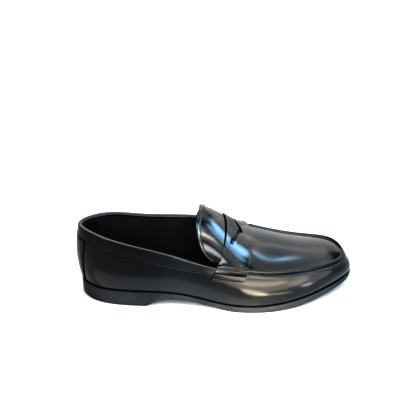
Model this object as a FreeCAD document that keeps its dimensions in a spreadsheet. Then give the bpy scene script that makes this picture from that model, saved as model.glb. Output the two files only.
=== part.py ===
"""Men's penny loafer, right foot, EU size 42: every leather, board, rubber and thread piece as its own solid.

Frame: +X towards the toe, +Y towards the inner (medial) side of the foot, +Z up, in millimetres.
The origin lies on the floor under the middle of the shoe.

The upper is drawn round two closed guide loops with the same stations: the feather line, where the
upper meets the sole, and the top edge, which is the topline of the collar at the back and the moccasin
seam round the apron at the front. Station 0 is the centre back, 10 the toe, 1 to 9 the outer (lateral)
side and 11 to 19 the inner side. The wall between the loops and the arched top between the two sides of
the seam are two smooth surfaces, and each leather piece is a thick panel on one of them.
"""

import FreeCAD, Part
import math
import os

Vector = FreeCAD.Vector
DOC = FreeCAD.newDocument("penny_loafer")

# ---------------------------------------------------------------- driving dimensions (spreadsheet)
SIZES = [
    ("sole_length", 300.0, "back of the heel to the tip of the sole"),
    ("ball_width", 100.0, "width of the feather line at the ball"),
    ("back_height", 86.5, "floor to the topline at the centre back"),
    ("sole_ledge", 2.0, "how far the sole stands out past the upper"),
    ("skirt_leather", 1.3, "thickness of the outer leather"),
    ("trim_leather", 1.0, "thickness of the collar band and the backstay"),
    ("strap_leather", 1.4, "thickness of the penny strap"),
    ("stiffener", 0.7, "thickness of the toe and heel stiffeners"),
    ("lining", 0.9, "thickness of the lining leather"),
    ("layer_gap", 0.2, "glue line between two layers"),
    ("insole_board_thick", 2.0, "thickness of the insole board"),
    ("sock_thick", 1.2, "thickness of the sock liner"),
    ("heel_pad_thick", 2.5, "thickness of the foam pad under the heel"),
    ("shank_width", 12.0, "width of the steel shank"),
    ("shank_thick", 1.4, "thickness of the steel shank"),
    ("filler_thick", 1.5, "thickness of the cork filler"),
    ("filler_width", 50.0, "width of the cork filler"),
    ("thread", 0.7, "diameter of the sewing thread"),
    ("seam_lip", 2.2, "how far the moccasin seam stands up"),
    ("binding_height", 1.6, "height of the rolled binding on the topline"),
    ("stock_width", 140.0, "width of the stock that the boards are cut from"),
    ("stock_height", 60.0, "height of the stock that the boards are cut from"),
    ("frame_shift_x", 149.1, "back of the heel to the origin"),
    ("frame_shift_y", 5.3, "heel centre line to the origin"),
]
SHEET = DOC.addObject("Spreadsheet::Sheet", "sizes")
for row, (alias, value, note) in enumerate(SIZES, start=1):
    SHEET.set("A%d" % row, note)
    SHEET.set("B%d" % row, str(value))
    SHEET.setAlias("B%d" % row, alias)
DOC.recompute()


def size(alias):
    """A driving dimension, read from the spreadsheet."""
    return float(getattr(SHEET, alias))


# The guide points below are those of a size 42 last, and scale with the driving dimensions.
SCALE_X = size("sole_length") / 300.0
SCALE_Y = size("ball_width") / 100.0
SCALE_Z = size("back_height") / 86.5

# ---------------------------------------------------------------- guide loops, stations 0 to 19
#          x     y     z of the top edge: topline to station 5, moccasin seam from there to the toe
TOP_EDGE = [
    (4.0, 0.0, 86.5),
    (12.0, -12.5, 87.0),
    (36.0, -26.5, 84.3),
    (70.0, -31.5, 76.5),
    (108.0, -34.0, 66.5),
    (145.0, -37.0, 56.2),
    (182.0, -38.5, 50.0),
    (218.0, -36.5, 46.7),
    (250.0, -27.0, 44.5),
    (277.0, -12.5, 42.0),
    (290.0, 9.0, 40.8),
    (279.0, 30.0, 44.0),
    (252.0, 35.5, 46.8),
    (218.0, 36.0, 52.0),
    (182.0, 35.0, 62.0),
    (145.0, 34.0, 71.5),
    (108.0, 31.5, 76.3),
    (70.0, 29.0, 78.7),
    (36.0, 24.5, 84.0),
    (12.0, 12.0, 86.7),
]
#          x     y of the feather line; its height comes from FEATHER_HEIGHT
FEATHER = [
    (3.0, 0.0),
    (13.0, -18.0),
    (36.0, -28.0),
    (70.0, -31.7),
    (108.0, -33.0),
    (145.0, -38.0),
    (182.0, -43.3),
    (218.0, -40.4),
    (250.0, -29.3),
    (279.0, -11.5),
    (298.0, 11.0),
    (284.0, 37.0),
    (252.0, 49.5),
    (218.0, 54.5),
    (182.0, 51.5),
    (145.0, 41.0),
    (108.0, 32.5),
    (70.0, 31.0),
    (36.0, 27.5),
    (13.0, 17.5),
]
# how far the wall bulges out between the loops, at each station
BULGE = [5.6, 5.6, 5.2, 5.0, 4.0, 4.0, 5.0, 5.0, 5.0, 4.5, 4.5, 4.5, 5.0, 5.0, 5.0, 4.0, 4.0, 5.0, 5.2, 5.6]
#          x and height of the feather line over the floor
FEATHER_HEIGHT = [
    (-10.0, 18.0),
    (40.0, 18.2),
    (80.0, 18.0),
    (110.0, 15.6),
    (132.0, 12.0),
    (155.0, 8.1),
    (180.0, 6.9),
    (210.0, 7.8),
    (240.0, 10.4),
    (270.0, 13.6),
    (305.0, 18.0),
]
# underside of the sole: straight heel, breast and arch, straight ball, toe spring
HEEL_FRONT = 74.0
ARCH = [(74.0, 0.0), (80.0, 4.2), (90.0, 8.6), (104.0, 9.3), (122.0, 8.0), (142.0, 4.6), (158.0, 1.4), (170.0, 0.0)]
BALL_FRONT = 205.0
TOE_SPRING = [(205.0, 0.0), (228.0, 1.1), (250.0, 3.5), (275.0, 7.2), (306.0, 13.0)]
# the arched top at stations 4 to 10: rise of the outer and inner handle, reach of each as a share of the chord
ARCH_TOP = [
    (61.0, 43.0, 0.07, 0.10),
    (51.5, 40.0, 0.10, 0.14),
    (18.5, 12.5, 0.22, 0.24),
    (12.0, 9.0, 0.30, 0.30),
    (9.5, 7.0, 0.33, 0.33),
    (5.0, 4.0, 0.33, 0.33),
    (0.0, 0.0, 0.33, 0.33),
]
ARCH_TOP_START = 4
# how far the top surface starts inside the top edge, at stations 4 to 10
INSET = [6.5, 5.3, 2.2, 2.1, 2.1, 2.1, 2.1]
# width of the collar band at stations 0 to 5
BAND_WIDTH = [12.0, 13.0, 14.0, 14.8, 14.2, 9.5]
STATIONS = len(TOP_EDGE)
TOE = STATIONS // 2


# ---------------------------------------------------------------- smooth curves
class Fair:
    """A smooth curve (uniform cubic B-spline) through points, one per whole number."""

    def __init__(self, points, closed):
        self.points = [tuple(float(c) for c in p) for p in points]
        self.closed = closed
        self.poles = list(self.points)
        for _ in range(40):
            here = [self(i) for i in range(len(self.points))]
            self.poles = [
                tuple(q + p - h for q, p, h in zip(pole, point, at))
                for pole, point, at in zip(self.poles, self.points, here)
            ]

    def pole(self, i):
        n = len(self.poles)
        if self.closed:
            return self.poles[i % n]
        if i < 0:
            return tuple(2 * a - b for a, b in zip(self.poles[0], self.poles[1]))
        if i >= n:
            return tuple(2 * a - b for a, b in zip(self.poles[-1], self.poles[-2]))
        return self.poles[i]

    def __call__(self, t):
        last = len(self.poles) - 1
        i = math.floor(t) if self.closed else min(max(math.floor(t), 0), last - 1)
        f = t - i
        weights = (
            (1 - f) ** 3 / 6,
            (3 * f**3 - 6 * f**2 + 4) / 6,
            (-3 * f**3 + 3 * f**2 + 3 * f + 1) / 6,
            f**3 / 6,
        )
        near = [self.pole(i + k) for k in (-1, 0, 1, 2)]
        return tuple(sum(w * p[c] for w, p in zip(weights, near)) for c in range(len(near[0])))


def height_curve(points):
    """z as a smooth function of x, through the points."""
    curve = Fair([(x * SCALE_X, z * SCALE_Z) for x, z in points], closed=False)
    last = len(points) - 1.0

    def z_at(x):
        low, high = 0.0, last
        for _ in range(40):
            mid = (low + high) / 2
            if curve(mid)[0] < x:
                low = mid
            else:
                high = mid
        return curve(low)[1]

    return z_at


feather_height = height_curve(FEATHER_HEIGHT)
top_loop = Fair([(x * SCALE_X, y * SCALE_Y, z * SCALE_Z) for x, y, z in TOP_EDGE], closed=True)
feather_loop = Fair([(x * SCALE_X, y * SCALE_Y) for x, y in FEATHER], closed=True)
bulge_at = Fair([(b,) for b in BULGE], closed=True)
arch_top_at = Fair(ARCH_TOP, closed=False)
inset_at = Fair([(i,) for i in INSET], closed=False)
band_width_at = Fair([(w,) for w in BAND_WIDTH], closed=False)


def outward(loop, t):
    """The level direction that points out of the loop at t."""
    step = 1e-3
    a, b = loop(t - step), loop(t + step)
    direction = Vector(b[1] - a[1], a[0] - b[0], 0)
    return direction.normalize()


def feather_point(t, out=0.0, lift=0.0):
    """A point on the feather line, moved out of the loop and up."""
    x, y = feather_loop(t)
    return Vector(x, y, feather_height(x) + lift) + outward(feather_loop, t) * out


def bezier(p0, p1, p2, p3, v):
    u = 1 - v
    return p0 * u**3 + p1 * (3 * u * u * v) + p2 * (3 * u * v * v) + p3 * v**3


def wall(t, v):
    """The side of the shoe: v runs from 0 at the feather line to 1 at the top edge."""
    low = feather_point(t)
    high = Vector(*top_loop(t))
    rise = Vector(0, 0, (high.z - low.z) / 3)
    bulge = bulge_at(t)[0]
    return bezier(
        low,
        low + rise + outward(feather_loop, t) * bulge,
        high - rise + outward(top_loop, t) * bulge,
        high,
        v,
    )


def apron_edge(t):
    """Where the top surface starts, just inside the top edge."""
    mirrored = t if t <= TOE else STATIONS - t
    inset = inset_at(mirrored - ARCH_TOP_START)[0]
    return Vector(*top_loop(t)) - outward(top_loop, t) * inset


def top(t, v):
    """The arched top from the tongue to the toe: v runs from the outer side to the inner side."""
    low, high = apron_edge(t), apron_edge(STATIONS - t)
    across = Vector(high.x - low.x, high.y - low.y, 0)
    rise_out, rise_in, reach_out, reach_in = arch_top_at(t - ARCH_TOP_START)
    return bezier(
        low,
        low + across * reach_out + Vector(0, 0, rise_out),
        high - across * reach_in + Vector(0, 0, rise_in),
        high,
        v,
    )


def raised(surface, t, v, out):
    """The point of a surface moved out along its normal."""
    step = 1e-3
    along = surface(t + step, v) - surface(t - step, v)
    across = surface(t, v + step) - surface(t, v - step)
    return surface(t, v) + along.cross(across).normalize() * out


# ---------------------------------------------------------------- solids
CENTRE = Vector(size("frame_shift_x"), size("frame_shift_y"), 0)
NODES = []


def to_frame(piece, node):
    """Moves a finished piece so that the origin lies under the middle of the shoe."""
    piece.Label = node
    piece.Placement = FreeCAD.Placement(-CENTRE, FreeCAD.Rotation())
    NODES.append(piece)
    return piece


def keep(node, shape):
    """Adds a finished shape to the document as the sub-part with that name."""
    piece = DOC.addObject("Part::Feature", node)
    piece.Shape = shape
    return to_frame(piece, node)


def skin(grid):
    surface = Part.BSplineSurface()
    surface.interpolate(grid)
    return surface


def borders(surface):
    u0, u1, v0, v1 = surface.bounds()
    return [curve.toShape() for curve in (surface.uIso(u0), surface.uIso(u1), surface.vIso(v0), surface.vIso(v1))]


def thick(outer, inner):
    """A closed solid between two grids of points."""
    skins = [skin(outer), skin(inner)]
    sides = [Part.makeRuledSurface(a, b) for a, b in zip(borders(skins[0]), borders(skins[1]))]
    shell = Part.makeShell([s.toShape() for s in skins] + sides)
    shell.sewShape()
    solid = Part.makeSolid(shell)
    if solid.Volume < 0:
        solid.reverse()
    return solid


def spread(low, high, count):
    return [low + (high - low) * i / (count - 1) for i in range(count)]


def panel(place, inner, outer, along, across):
    """A leather panel. place(a, b, out) gives its points, a and b from 0 to 1, out from its base surface."""
    grids = [
        [[place(a, b, out) for b in spread(0, 1, across)] for a in spread(0, 1, along)] for out in (outer, inner)
    ]
    return thick(*grids)


def value(number_or_rule, t):
    return number_or_rule(t) if callable(number_or_rule) else number_or_rule


def on_surface(surface, t0, t1, v0, v1):
    """Places a panel between stations t0 and t1; v0 and v1 are shares across, as numbers or rules of t."""

    def place(a, b, out):
        t = t0 + (t1 - t0) * a
        low, high = value(v0, t), value(v1, t)
        return raised(surface, t, low + (high - low) * b, out)

    return place


# Layers, counted outwards from the outer face of the skirt leather
GAP = size("layer_gap")
SKIRT_IN = -size("skirt_leather")
STIFF_OUT = SKIRT_IN - GAP
STIFF_IN = STIFF_OUT - size("stiffener")
LINING_OUT = STIFF_IN - GAP
LINING_IN = LINING_OUT - size("lining")
TRIM_OUT = GAP + size("trim_leather")

BAND_END = 4.89  # station where the collar band meets the strap
THROAT = 4.92  # station where the topline runs under the strap
LIP_START = 0.3  # stations over which the lip grows to its full height
BACK_GAP = 0.01  # half the gap of the centre-back seam, in stations
FLOOR_GAP = 0.004  # share of the wall's height left for the glue line over the sole


def mirrored(t):
    """The outer side's station with the same distance from the toe."""
    t = t % STATIONS
    return min(t, STATIONS - t)


def wall_height(t):
    return top_loop(t)[2] - feather_height(feather_loop(t)[0])


def ease(share):
    """A smooth step from 0 to 1."""
    share = min(max(share, 0.0), 1.0)
    return share * share * (3 - 2 * share)


def below_top(t, drop):
    """The share of the wall's height that lies drop under the top edge."""
    return 1 - drop / wall_height(t)


def band_low(t):
    """The lower edge of the collar band."""
    return below_top(t, band_width_at(mirrored(t))[0])


def lip_height(t):
    """How far the skirt's lip stands over the top edge: lower on the inner side than on the outer side."""
    return size("seam_lip") * (1 - 0.6 * ease((t - 10.5) / 2))


def skirt_top(t):
    """The skirt ends under the binding behind the strap and stands up as a lip round the apron."""
    front = ease((mirrored(t) - THROAT) / LIP_START)
    rise = front * lip_height(t) - (1 - front) * (size("binding_height") + GAP)
    return below_top(t, -rise)


def lining_top(t):
    """The linings end under the binding behind the strap and under the apron in front of it."""
    front = ease((mirrored(t) - THROAT) / LIP_START)
    return below_top(t, size("binding_height") + GAP + 2.2 * front)


# The upper's leather
keep("skirt", panel(on_surface(wall, BACK_GAP, STATIONS - BACK_GAP, FLOOR_GAP, skirt_top), SKIRT_IN, 0, 81, 9))
keep("collar_band", panel(on_surface(wall, -BAND_END, BAND_END, band_low, lining_top), GAP, TRIM_OUT, 41, 5))
binding = on_surface(wall, -BAND_END, BAND_END, lambda t: below_top(t, size("binding_height")), 1.0)
keep("topline_binding", panel(binding, LINING_IN, TRIM_OUT, 41, 3))


def on_backstay(a, b, out):
    """A strip up the centre back that widens towards the collar band."""
    t = (2 * a - 1) * (0.62 + 0.40 * b)
    high = band_low(t) - 0.006
    return raised(wall, t, 0.02 + (high - 0.02) * b, out)


keep("backstay", panel(on_backstay, GAP, TRIM_OUT, 13, 13))
keep("heel_counter", panel(on_surface(wall, -3.2, 3.2, 0.03, 0.72), STIFF_IN, STIFF_OUT, 49, 9))
keep("toe_puff", panel(on_surface(wall, 8.2, 11.8, 0.04, 0.93), STIFF_IN, STIFF_OUT, 25, 7))
keep("quarter_lining", panel(on_surface(wall, -5.5, 5.5, 0.03, lining_top), LINING_IN, LINING_OUT, 49, 9))
keep("vamp_lining", panel(on_surface(wall, 5.53, STATIONS - 5.53, 0.04, lining_top), LINING_IN, LINING_OUT, 49, 7))
grip_out = LINING_IN - GAP
keep("heel_grip", panel(on_surface(wall, -1.4, 1.4, 0.35, 0.9), grip_out - 0.8, grip_out, 17, 7))

# The top: apron with its lining in front of the strap, tongue behind it
APRON_REAR = 5.62
APRON_FRONT = 9.93
keep("apron", panel(on_surface(top, APRON_REAR, APRON_FRONT, 0, 1), SKIRT_IN, 0, 41, 17))
apron_lining = on_surface(top, APRON_REAR, 9.55, 0.05, 0.95)
keep("apron_lining", panel(apron_lining, STIFF_OUT - size("lining"), STIFF_OUT, 41, 17))

TONGUE_FRONT = 5.50


def tongue_rear(w):
    """The tongue's rounded rear edge: forward to the throat at its sides, farthest back on the outer side."""
    reach = 0.43 - 0.11 * ease((w - 0.3) / 0.25)
    return 4.98 - reach * (1 - abs(2 * w - 1) ** 6) ** 0.6


def on_tongue(margin_rear, margin_side):
    """Places a panel on the tongue, kept inside its edge by margins given in stations and in share across."""

    def place(a, b, out):
        w = margin_side + (1 - 2 * margin_side) * b
        rear = tongue_rear(b) + margin_rear
        return raised(top, rear + (TONGUE_FRONT - rear) * a, w, out)

    return place


keep("tongue", panel(on_tongue(0, 0.02), SKIRT_IN, 0, 13, 33))
keep("tongue_lining", panel(on_tongue(0.03, 0.04), STIFF_OUT - size("lining"), STIFF_OUT, 13, 33))


def on_tongue_rim(a, b, out):
    w = 0.02 + 0.96 * b
    return raised(top, tongue_rear(b) + 0.115 * a, w, out)


keep("tongue_binding", panel(on_tongue_rim, GAP, GAP + 0.8, 5, 33))

# The penny strap lies over the throat from one side of the skirt to the other
STRAP_IN = 0.45
STRAP_OUT = STRAP_IN + size("strap_leather")


def strap_lift(side):
    """How much higher the strap lies over the top edge than over the flat leather, at a station of either side."""
    return ease((mirrored(side) - THROAT) / LIP_START) * lip_height(side) + 0.4


def strap_line(t):
    """The line under the strap at a station: up the outer wall, over the lip, across the top and down again."""
    sides = []
    for side in (t, STATIONS - t):
        tab_drop = 16.0 - 5.0 * (t - 5)
        tab = [wall(side, below_top(side, tab_drop * share)) for share in (1, 0.75, 0.5, 0.25)]
        away = outward(top_loop, side)
        over_lip = Vector(*top_loop(side)) - away * 1.1 + Vector(0, 0, strap_lift(side) - 1.0)
        bend = []
        for degrees in (0, 45, 90, 135):
            angle = math.radians(degrees)
            bend.append(over_lip + away * (1.25 * math.cos(angle)) + Vector(0, 0, 1.25 * math.sin(angle)))
        sides.append(tab + bend)
    middle = []
    for w in spread(0.06, 0.94, 15):
        near_edge = math.exp(-min(w, 1 - w) / 0.05)
        side = t if w < 0.5 else STATIONS - t
        middle.append(top(t, w) + Vector(0, 0, near_edge * strap_lift(side) * 0.7))
    return sides[0] + middle + sides[1][::-1]


STRAP_POINTS = 81  # evenly spaced along the strap's section


def strap_base():
    """A grid of points under the strap, from its rear edge to its front edge and from tab to tab."""
    grid = []
    for a in spread(0, 1, 11):
        row = []
        for index in range(STRAP_POINTS):
            bow = math.sin(math.pi * index / (STRAP_POINTS - 1))
            rear, front = 4.93 + 0.45 * bow**0.8, 5.86 + 0.26 * bow**0.6
            section = Part.BSplineCurve()
            section.interpolate(Points=strap_line(rear + (front - rear) * a))
            row.append(section.toShape().discretize(Number=STRAP_POINTS)[index])
        grid.append(row)
    return grid


def lifted(grid, out):
    """The grid moved out along its own normals."""
    rows, columns = len(grid), len(grid[0])
    moved = []
    for i in range(rows):
        row = []
        for j in range(columns):
            along = grid[min(i + 1, rows - 1)][j] - grid[max(i - 1, 0)][j]
            across = grid[i][min(j + 1, columns - 1)] - grid[i][max(j - 1, 0)]
            row.append(grid[i][j] + along.cross(across).normalize() * out)
        moved.append(row)
    return moved


STRAP_BASE = strap_base()
strap = thick(lifted(STRAP_BASE, STRAP_OUT), lifted(STRAP_BASE, STRAP_IN))
SLOT = [(166.0, -20.5), (176.5, 2.0), (168.0, 19.0)]
SLOT_HALF = 1.4
slot_line = [Vector(x - SLOT_HALF, y, 40) for x, y in SLOT] + [Vector(x + SLOT_HALF, y, 40) for x, y in SLOT[::-1]]
slot_face = Part.Face(Part.makePolygon(slot_line + slot_line[:1]))
keep("penny_strap", strap.cut(slot_face.extrude(Vector(0, 0, 80))))


# ---------------------------------------------------------------- sewing threads
def thread_row(line, pitch, length):
    """Stitches along a line of points: short straight lengths of thread, one pitch apart."""
    radius = size("thread") / 2
    stitches = []
    travelled = pitch / 2
    for start, end in zip(line, line[1:]):
        run = (end - start).Length
        direction = (end - start).normalize()
        while travelled < run:
            middle = start + direction * travelled
            stitches.append(Part.makeCylinder(radius, length, middle - direction * (length / 2), direction))
            travelled += pitch
        travelled -= run
    return stitches


def row_on(place, out, count, a=None, b=None):
    """The points of a row on a panel at a fixed a or b."""
    clear = out + size("thread") / 2 + 0.08
    if a is None:
        return [place(s, b, clear) for s in spread(0.01, 0.99, count)]
    return [place(a, s, clear) for s in spread(0.02, 0.98, count)]


band = on_surface(wall, 0.05 - BAND_END, BAND_END - 0.05, band_low, lining_top)
seam = on_surface(wall, 6.15, STATIONS - 6.15, lambda t: below_top(t, 0.4), 1.0)
strap_top = lifted(STRAP_BASE, STRAP_OUT + size("thread") / 2 + 0.15)
thread_groups = {
    "collar_stitches": [row_on(band, TRIM_OUT, 201, b=0.12)],
    "backstay_stitches": [row_on(on_backstay, TRIM_OUT, 21, a=a) for a in (0.06, 0.94)],
    "moc_seam_thread": [row_on(seam, 0.0, 201, b=0.0)],
    "tongue_stitches": [row_on(on_tongue_rim, GAP + 0.8, 81, a=0.82)],
    "strap_stitches": [[row[column] for row in strap_top] for column in (2, 9, -10, -3)],
}
PITCH = {"moc_seam_thread": (3.9, 2.6)}
for node, rows in thread_groups.items():
    pitch, length = PITCH.get(node, (2.8, 1.8))
    keep(node, Part.makeCompound([stitch for row in rows for stitch in thread_row(row, pitch, length)]))


# ---------------------------------------------------------------- boards and the sole
def plane(body, role):
    return next(feature for feature in body.Origin.OriginFeatures if feature.Role == role)


def sketch_on(body, role, name):
    sketch = body.newObject("Sketcher::SketchObject", name)
    sketch.AttachmentSupport = [(plane(body, role), "")]
    sketch.MapMode = "FlatFace"
    return sketch


def curve_through(points, closed=False):
    curve = Part.BSplineCurve()
    curve.interpolate(Points=points, PeriodicFlag=closed)
    return curve


def board(node, low_parts, high_parts, outline):
    """A board cut from stock: a side profile with low and high edges, trimmed to an outline seen from above.

    Each edge is a list of point lists; two points make a straight stretch and more make a curve.
    """
    body = DOC.addObject("PartDesign::Body", node)
    side = sketch_on(body, "XZ_Plane", node + "_side")
    edges = []
    for part in low_parts + high_parts:
        points = [Vector(x, z, 0) for x, z in part]
        edges.append(Part.LineSegment(*points) if len(points) == 2 else curve_through(points))
    for part_a, part_b in ((low_parts[0][0], high_parts[0][0]), (low_parts[-1][-1], high_parts[-1][-1])):
        edges.append(Part.LineSegment(Vector(*part_a, 0), Vector(*part_b, 0)))
    side.addGeometry(edges)
    pad = body.newObject("PartDesign::Pad", node + "_stock")
    pad.Profile = side
    pad.Midplane = True
    pad.setExpression("Length", "sizes.stock_width")
    DOC.recompute()
    stock_volume = body.Shape.Volume

    plan = sketch_on(body, "XY_Plane", node + "_plan")
    corners = [Vector(-20, -80, 0), Vector(330, -80, 0), Vector(330, 90, 0), Vector(-20, 90, 0)]
    frame = [Part.LineSegment(a, b) for a, b in zip(corners, corners[1:] + corners[:1])]
    plan.addGeometry(frame + [curve_through(outline, closed=True)])
    trim = body.newObject("PartDesign::Pocket", node + "_trim")
    trim.Profile = plan
    trim.Midplane = True
    trim.Type = "Length"
    trim.setExpression("Length", "2 * sizes.stock_height")
    side.Visibility = plan.Visibility = False
    DOC.recompute()
    assert body.Shape.Volume < stock_volume, node
    return body


def feather_outline(out, count=60):
    """The feather line moved out of the loop, as points seen from above."""
    points = [feather_point(STATIONS * i / count, out) for i in range(count)]
    return [Vector(p.x, p.y, 0) for p in points]


def profile(rule, x0, x1, count=25):
    return [[(x, rule(x)) for x in spread(x0, x1, count)]]


def over_feather(rise):
    return lambda x: feather_height(x) + rise


def pad_rise(x):
    """How far the heel pad lifts the sock liner."""
    return (size("heel_pad_thick") + GAP) * (1 - ease((x - 55) / 40))


def capsule(x0, x1, y, width, corner):
    """A rectangle seen from above whose corners are rounded, as points of one smooth closed curve."""
    half = Vector((x1 - x0) / 2, width / 2, 0)
    centre = Vector((x0 + x1) / 2, y, 0)
    points = []
    for i in range(48):
        angle = 2 * math.pi * (i + 0.5) / 48
        c, s = math.cos(angle), math.sin(angle)
        reach = (abs(c) ** corner + abs(s) ** corner) ** (-1 / corner)
        points.append(centre + Vector(half.x * c * reach, half.y * s * reach, 0))
    return points


FLOOR = 0.1
BOARD_TOP = FLOOR + size("insole_board_thick")
SOCK_LOW = BOARD_TOP + GAP
BACK, TIP = -10.0, 310.0
INSIDE = LINING_IN - 0.25
to_frame(
    board(
        "insole_board",
        profile(over_feather(FLOOR), BACK, TIP, 41),
        profile(over_feather(BOARD_TOP), BACK, TIP, 41),
        feather_outline(INSIDE),
    ),
    "insole_board",
)
to_frame(
    board(
        "sock_liner",
        profile(lambda x: feather_height(x) + SOCK_LOW + pad_rise(x), BACK, TIP, 61),
        profile(lambda x: feather_height(x) + SOCK_LOW + size("sock_thick") + pad_rise(x), BACK, TIP, 61),
        feather_outline(INSIDE - 0.3),
    ),
    "sock_liner",
)
to_frame(
    board(
        "heel_pad",
        profile(over_feather(SOCK_LOW), BACK, 84.0),
        profile(lambda x: feather_height(x) + SOCK_LOW + pad_rise(x) - GAP, BACK, 84.0),
        feather_outline(INSIDE - 3.0),
    ),
    "heel_pad",
)


def buried(node, x0, x1, y, width, thickness, corner):
    """A flat piece let into the top of the sole, and the hollow it lies in."""
    solid = board(
        node,
        profile(over_feather(-GAP - thickness), x0 - 5, x1 + 5),
        profile(over_feather(-GAP), x0 - 5, x1 + 5),
        capsule(x0, x1, y, width, corner),
    )
    hollow = board(
        node + "_hollow",
        profile(over_feather(-2 * GAP - thickness), x0 - 6, x1 + 6),
        profile(over_feather(5.0), x0 - 6, x1 + 6),
        capsule(x0 - GAP, x1 + GAP, y, width + 2 * GAP, corner),
    )
    to_frame(solid, node)
    return hollow


shank_hollow = buried("shank", 52, 150, 0, size("shank_width"), size("shank_thick"), 6)
filler_hollow = buried("bottom_filler", 166, 262, 8, size("filler_width"), size("filler_thick"), 3)
stock = board(
    "outsole_stock",
    [[(-6.0, 0.0), (HEEL_FRONT, 0.0)], ARCH, [(ARCH[-1][0], 0.0), (BALL_FRONT, 0.0)], TOE_SPRING],
    profile(feather_height, -6.0, TOE_SPRING[-1][0], 41),
    feather_outline(size("sole_ledge")),
)
without_shank = DOC.addObject("Part::Cut", "outsole_with_shank_hollow")
without_shank.Base, without_shank.Tool = stock, shank_hollow
outsole = DOC.addObject("Part::Cut", "outsole_unit")
outsole.Base, outsole.Tool = without_shank, filler_hollow
DOC.recompute()
to_frame(outsole, "outsole_unit")
DOC.recompute()

# ---------------------------------------------------------------- checks and export
failed = [o.Name for o in DOC.Objects if "Invalid" in o.State or "Error" in o.State]
if failed:
    raise RuntimeError("these objects failed: " + ", ".join(failed))
for piece in NODES:
    if piece.Shape.isNull() or not piece.Shape.isValid():
        raise RuntimeError(piece.Label + " has no valid shape")
os.makedirs("parts", exist_ok=True)
for piece in NODES:
    box = piece.Shape.BoundBox
    print("%-18s %8.0f mm3  x %6.1f %6.1f  y %6.1f %6.1f  z %5.1f %5.1f" % (
        piece.Label, piece.Shape.Volume, box.XMin, box.XMax, box.YMin, box.YMax, box.ZMin, box.ZMax))
    piece.Shape.exportStep("parts/" + piece.Label + ".step")
whole = Part.makeCompound([piece.Shape for piece in NODES]).BoundBox
print("whole", whole, "centre", whole.Center)
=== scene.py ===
import math

import bmesh
import bpy
import numpy as np
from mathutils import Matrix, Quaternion, Vector
from mathutils.kdtree import KDTree


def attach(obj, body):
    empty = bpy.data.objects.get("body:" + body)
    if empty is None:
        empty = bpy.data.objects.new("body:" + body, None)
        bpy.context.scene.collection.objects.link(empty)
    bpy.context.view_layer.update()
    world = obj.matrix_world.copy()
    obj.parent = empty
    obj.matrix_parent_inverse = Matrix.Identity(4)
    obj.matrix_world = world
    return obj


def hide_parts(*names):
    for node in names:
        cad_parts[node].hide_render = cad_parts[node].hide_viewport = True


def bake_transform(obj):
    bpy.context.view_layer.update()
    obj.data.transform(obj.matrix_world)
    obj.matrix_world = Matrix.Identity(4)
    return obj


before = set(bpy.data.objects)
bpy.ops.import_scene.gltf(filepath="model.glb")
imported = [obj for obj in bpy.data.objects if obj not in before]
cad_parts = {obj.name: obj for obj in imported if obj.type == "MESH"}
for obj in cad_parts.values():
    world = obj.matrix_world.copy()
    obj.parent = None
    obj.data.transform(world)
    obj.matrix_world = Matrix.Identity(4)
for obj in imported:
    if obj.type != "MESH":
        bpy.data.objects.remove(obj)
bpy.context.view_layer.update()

# The look of a penny loafer. Most pieces are grids of points laid on one of the two smooth surfaces of the
# last: the wall up the side, and the arched top from the tongue to the toe. Lengths are in millimetres, and
# finish_mesh turns them into metres of the frame.

# ------------------------------------------------------------------ the last's guide curves
# x from the back of the heel, y from the heel's centre line towards the inner side, z from the floor.
# Station 0 is the centre back, 10 the toe, 1 to 9 the outer side and 11 to 19 the inner side.
STATIONS, TOE = 20, 10
# The place of the frame's origin in these measures
SHIFT = np.array([149.1, 5.3, 0.0])
# The upper's top edge, at each station
TOP_EDGE = [
    (4, 0, 86.5), (12, -12.5, 87), (36, -26.5, 84.3), (70, -31.5, 76.5), (108, -34, 66.5),
    (145, -37, 56.2), (182, -38.5, 50), (218, -36.5, 46.7), (250, -27, 44.5), (277, -12.5, 42),
    (290, 9, 40.8), (279, 30, 44), (252, 35.5, 46.8), (218, 36, 52), (182, 35, 62),
    (145, 34, 71.5), (108, 31.5, 76.3), (70, 29, 78.7), (36, 24.5, 84), (12, 12, 86.7),
]
# The feather line, where the upper meets the sole, seen from above
FEATHER = [
    (3, 0), (13, -18), (36, -28), (70, -31.7), (108, -33), (145, -38), (182, -43.3), (218, -40.4),
    (250, -29.3), (279, -11.5), (298, 11), (284, 37), (252, 49.5), (218, 54.5), (182, 51.5),
    (145, 41), (108, 32.5), (70, 31), (36, 27.5), (13, 17.5),
]
# How far the wall's curve is pulled outwards, at each station
BULGE = [5.6, 5.6, 5.2, 5.0, 4.0, 4.0, 5.0, 5.0, 5.0, 4.5, 4.5, 4.5, 5.0, 5.0, 5.0, 4.0, 4.0, 5.0, 5.2, 5.6]
# Heights of the feather line and of the sole's bottom, as (x, z)
FEATHER_HEIGHT = [
    (-10, 18), (40, 18.2), (80, 18), (110, 15.6), (132, 12), (155, 8.1), (180, 6.9), (210, 7.8),
    (240, 10.4), (270, 13.6), (305, 18),
]
SOLE_BOTTOM = [
    (-10, 0), (60, 0), (72, 0), (75, 0.8), (80, 4.2), (90, 8.6), (104, 9.3), (122, 8), (142, 4.6), (158, 1.4),
    (168, 0.1), (174, 0), (200, 0), (212, 0.15), (228, 1.1), (250, 3.5), (275, 7.2), (306, 13),
]
# The arched top from station 4 on: the rise of its outer and inner handle, then their reach as shares
# of the chord
TOP_START = 4
ARCH_TOP = [
    (61, 43, 0.07, 0.10), (51.5, 40, 0.10, 0.14), (18.5, 12.5, 0.22, 0.24), (12, 9, 0.30, 0.30),
    (9.5, 7, 0.33, 0.33), (5, 4, 0.33, 0.33), (0, 0, 0.33, 0.33),
]
# How far the arched top's edge lies inside the upper's top edge, from station 4 on
INSET = [6.5, 5.3, 1.7, 1.5, 1.5, 1.5, 1.5]
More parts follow.
